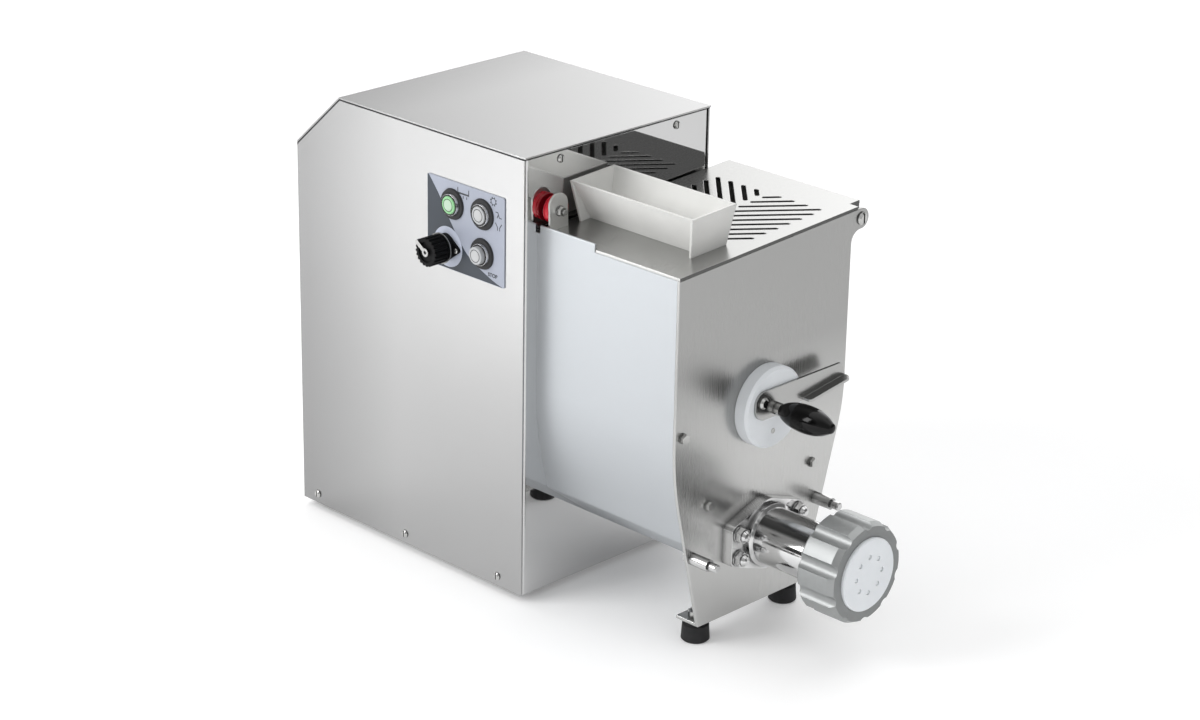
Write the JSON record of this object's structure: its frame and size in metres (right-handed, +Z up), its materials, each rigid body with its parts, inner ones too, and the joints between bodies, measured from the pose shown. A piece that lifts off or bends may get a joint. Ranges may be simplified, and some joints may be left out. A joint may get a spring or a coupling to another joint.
{
  "type": "electric pasta maker",
  "caption": "Counter-top electric pasta maker: sheet steel housing with push-buttons, mixing vat with slotted hinged lid and hopper, kneader, gear train, auger barrel, die and lobed ring nut.",
  "frame": {"origin": "centre of the footprint of the whole machine, at the surface it stands on", "axes": "+Z up, -Y towards the nozzle (the front), -X towards the side with the controls"},
  "size_m": [0.2992, 0.6424, 0.44],
  "materials": {
    "satin_steel": "satin stainless sheet",
    "vat_steel": "fine-grained stainless sheet",
    "mirror_steel": "mirror-polished stainless sheet",
    "polished_steel": "polished stainless steel",
    "gear_steel": "ground steel",
    "cast_aluminium": "as cast",
    "plate_aluminium": "milled",
    "zinc_screws": "bright stainless screws",
    "black_rubber": "matte moulded rubber",
    "black_plastic": "glossy phenolic",
    "satin_black_plastic": "moulded, fine grain",
    "white_plastic": "food-grade, semi-matte",
    "panel_print": "printed film, two greys",
    "green_lens": "translucent green",
    "white_lens": "translucent white",
    "red_plastic": "moulded red",
    "grey_fan": "moulded",
    "black_paint": "satin black paint"
  },
  "bodies": {
    "housing": {"base_plate": "satin_steel", "bulkhead": "mirror_steel", "control_side_panel": "satin_steel", "right_side_panel": "satin_steel", "top_cover": "satin_steel", "cover_seal": "black_rubber", "rear_cover": "satin_steel", "housing_feet": "black_rubber", "housing_screws": "zinc_screws", "cable_gland": "satin_black_plastic", "control_plate": "panel_print", "button_rings": "black_rubber", "button_bezels": "polished_steel", "switch_blocks": "satin_black_plastic", "accessory_socket": "satin_black_plastic", "cap_strap": "polished_steel", "gearbox_front_plate": "plate_aluminium", "gearbox_rear_plate": "plate_aluminium", "gearbox_pillars": "gear_steel", "shaft_bearings": "polished_steel", "shaft_seals": "black_rubber", "motor_body": "cast_aluminium", "fan_cowl": "black_paint", "contactor": "satin_black_plastic", "lid_sensor": "red_plastic", "vat_jacket": "vat_steel", "mixing_tub": "vat_steel", "front_plate": "vat_steel", "front_plate_bolts": "polished_steel", "front_feet": "black_rubber", "hinge_pins": "polished_steel", "extrusion_barrel": "polished_steel", "barrel_studs": "polished_steel", "barrel_nuts": "polished_steel", "accessory_studs": "polished_steel"},
    "lid": {"lid": "vat_steel", "hopper": "white_plastic", "magnet_bracket": "polished_steel", "interlock_magnet": "red_plastic", "bracket_bolt": "polished_steel"},
    "start_button": {"start_button": "green_lens"},
    "mixer_button": {"mixer_button": "white_lens"},
    "stop_button": {"stop_button": "white_lens"},
    "socket_cap": {"socket_cap": "satin_black_plastic"},
    "kneader_lock": {"kneader_lock": "white_plastic", "lock_lever": "vat_steel", "lever_studs": "polished_steel", "handle_grip": "black_plastic"},
    "kneader": {"kneader": "vat_steel", "kneader_drive_shaft": "gear_steel", "kneader_gear": "gear_steel"},
    "auger": {"auger": "polished_steel", "auger_drive_shaft": "gear_steel", "auger_gear": "gear_steel"},
    "countershaft": {"pinion_shaft": "gear_steel", "input_gear": "gear_steel"},
    "rotor": {"motor_rotor": "gear_steel", "motor_fan": "grey_fan"},
    "die": {"extrusion_die": "white_plastic"},
    "ring_nut": {"ring_nut": "cast_aluminium"}
  },
  "joints": [
    {"name": "lid_hinge", "type": "hinge", "parent": "housing", "child": "lid", "pos_m": [0.1398, -0.10185, 0.36774], "axis": [0, 1, 0], "range_deg": [0, 100]},
    {"name": "start_press", "type": "slide", "parent": "housing", "child": "start_button", "axis": [1, 0, 0], "range_m": [0, 0.0025], "stiffness_N_per_m": 400, "springref_m": -0.001},
    {"name": "mixer_press", "type": "slide", "parent": "housing", "child": "mixer_button", "axis": [1, 0, 0], "range_m": [0, 0.0025], "stiffness_N_per_m": 400, "springref_m": -0.001},
    {"name": "stop_press", "type": "slide", "parent": "housing", "child": "stop_button", "axis": [1, 0, 0], "range_m": [0, 0.0025], "stiffness_N_per_m": 400, "springref_m": -0.001},
    {"name": "cap_turn", "type": "hinge", "parent": "housing", "child": "socket_cap", "pos_m": [-0.1325, 0.08915, 0.331], "axis": [-1, 0, 0], "range_deg": [0, 90]},
    {"name": "lock_turn", "type": "hinge", "parent": "housing", "child": "kneader_lock", "pos_m": [0.0128, -0.18805, 0.2198], "axis": [0, -1, 0], "range_deg": [0, 90]},
    {"name": "kneader_spin", "type": "hinge", "parent": "housing", "child": "kneader", "pos_m": [0.0128, 0.02815, 0.2198], "axis": [0, 1, 0], "continuous": true},
    {"name": "auger_spin", "type": "hinge", "parent": "housing", "child": "auger", "pos_m": [0.0128, 0.02815, 0.0938], "axis": [0, 1, 0], "continuous": true},
    {"name": "countershaft_spin", "type": "hinge", "parent": "housing", "child": "countershaft", "pos_m": [-0.04723, 0.02815, 0.29083], "axis": [0, 1, 0], "continuous": true},
    {"name": "rotor_spin", "type": "hinge", "parent": "housing", "child": "rotor", "pos_m": [0.0179, 0.02815, 0.31649], "axis": [0, 1, 0], "continuous": true},
    {"name": "die_shift", "type": "slide", "parent": "housing", "child": "die", "axis": [0, -1, 0], "range_m": [0, 0.009]},
    {"name": "ring_nut_turn", "type": "hinge", "parent": "die", "child": "ring_nut", "pos_m": [0.0128, -0.27545, 0.0938], "axis": [0, -1, 0], "range_deg": [0, 1080]}
  ],
  "couplings": [
    {"joint": "auger_spin", "follows": "kneader_spin", "ratio": -1.3333},
    {"joint": "countershaft_spin", "follows": "kneader_spin", "ratio": -3.4286},
    {"joint": "rotor_spin", "follows": "kneader_spin", "ratio": 13.714},
    {"joint": "die_shift", "follows": "ring_nut_turn", "m_per_rad": 0.00047746}
  ]
}
